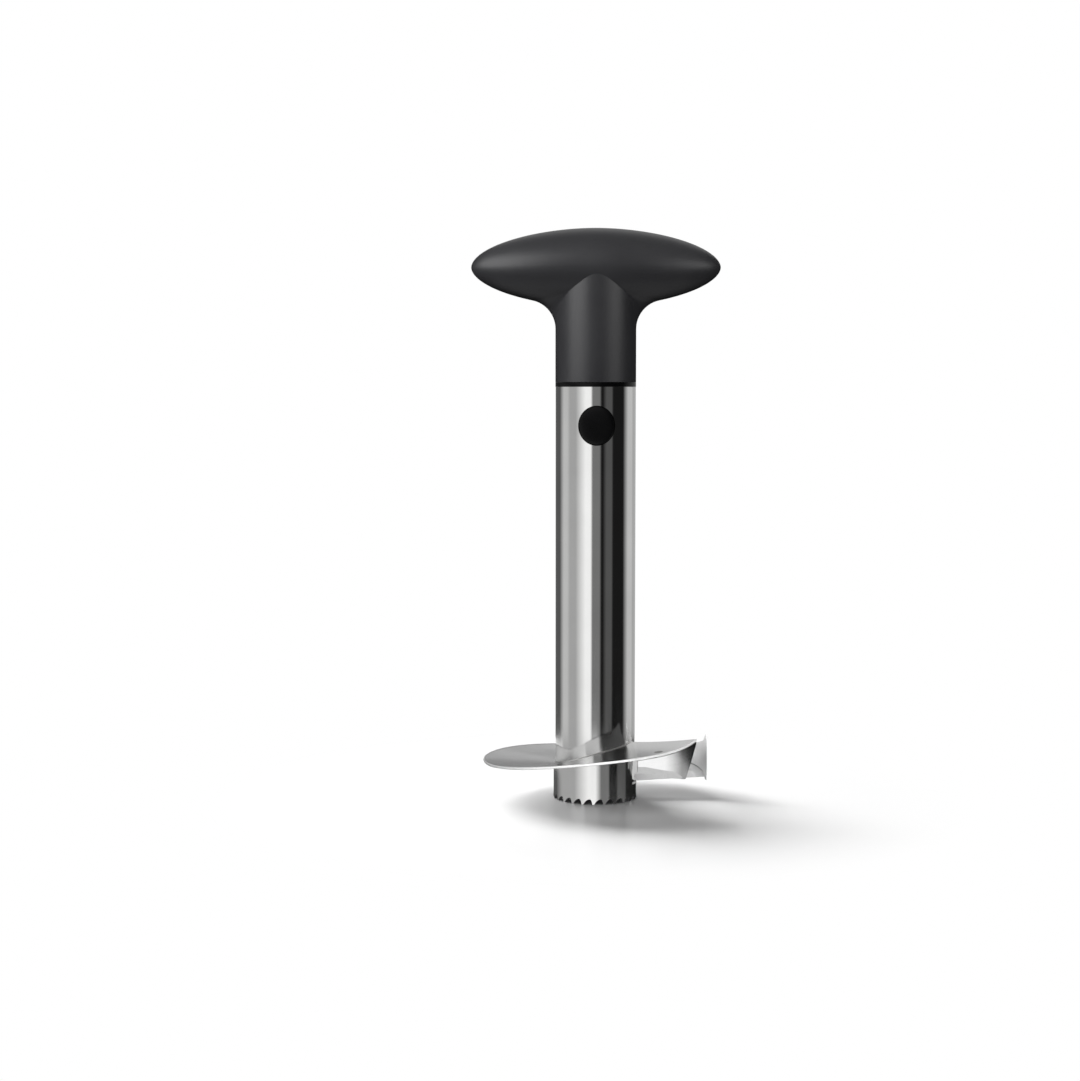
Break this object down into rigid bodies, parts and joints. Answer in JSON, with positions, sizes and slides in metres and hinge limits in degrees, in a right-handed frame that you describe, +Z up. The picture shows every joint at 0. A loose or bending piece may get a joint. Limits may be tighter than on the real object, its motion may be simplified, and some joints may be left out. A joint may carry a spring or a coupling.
{
  "type": "pineapple slicer",
  "caption": "Hand-turned pineapple slicer: toothed steel core tube with a helical ring blade and rim knives, under a T handle held by two release buttons.",
  "frame": {"origin": "on the tube's axis, in the plane of the tooth tips that it stands on", "axes": "+Z up the tube to the handle, X along the handle's bar, -Y out through the front release button"},
  "size_m": [0.099, 0.09, 0.228],
  "materials": {
    "polished_stainless_steel": "polished",
    "ground_stainless_steel": "satin, ground edges",
    "soft_touch_grip": "matte soft-touch",
    "gloss_black_plastic": "gloss",
    "zinc_plated_steel": "plated"
  },
  "bodies": {
    "slicer": {"core_tube": "polished_stainless_steel", "toothed_sleeve": "polished_stainless_steel", "slicing_ring": "ground_stainless_steel", "rim_knife": "ground_stainless_steel", "leading_knife": "ground_stainless_steel", "handle_grip": "soft_touch_grip", "lock_plug": "gloss_black_plastic", "plug_screw": "zinc_plated_steel"},
    "front_button": {"front_button_leg": "gloss_black_plastic"},
    "rear_button": {"rear_button_leg": "gloss_black_plastic"}
  },
  "joints": [
    {"name": "front_button_press", "type": "hinge", "parent": "slicer", "child": "front_button", "pos_m": [0, -0.0142, 0.161], "axis": [1, 0, 0], "range_deg": [0, 9], "stiffness_Nm_per_rad": 0.5},
    {"name": "rear_button_press", "type": "hinge", "parent": "slicer", "child": "rear_button", "pos_m": [0, 0.0142, 0.161], "axis": [-1, 0, 0], "range_deg": [0, 9], "stiffness_Nm_per_rad": 0.5}
  ]
}
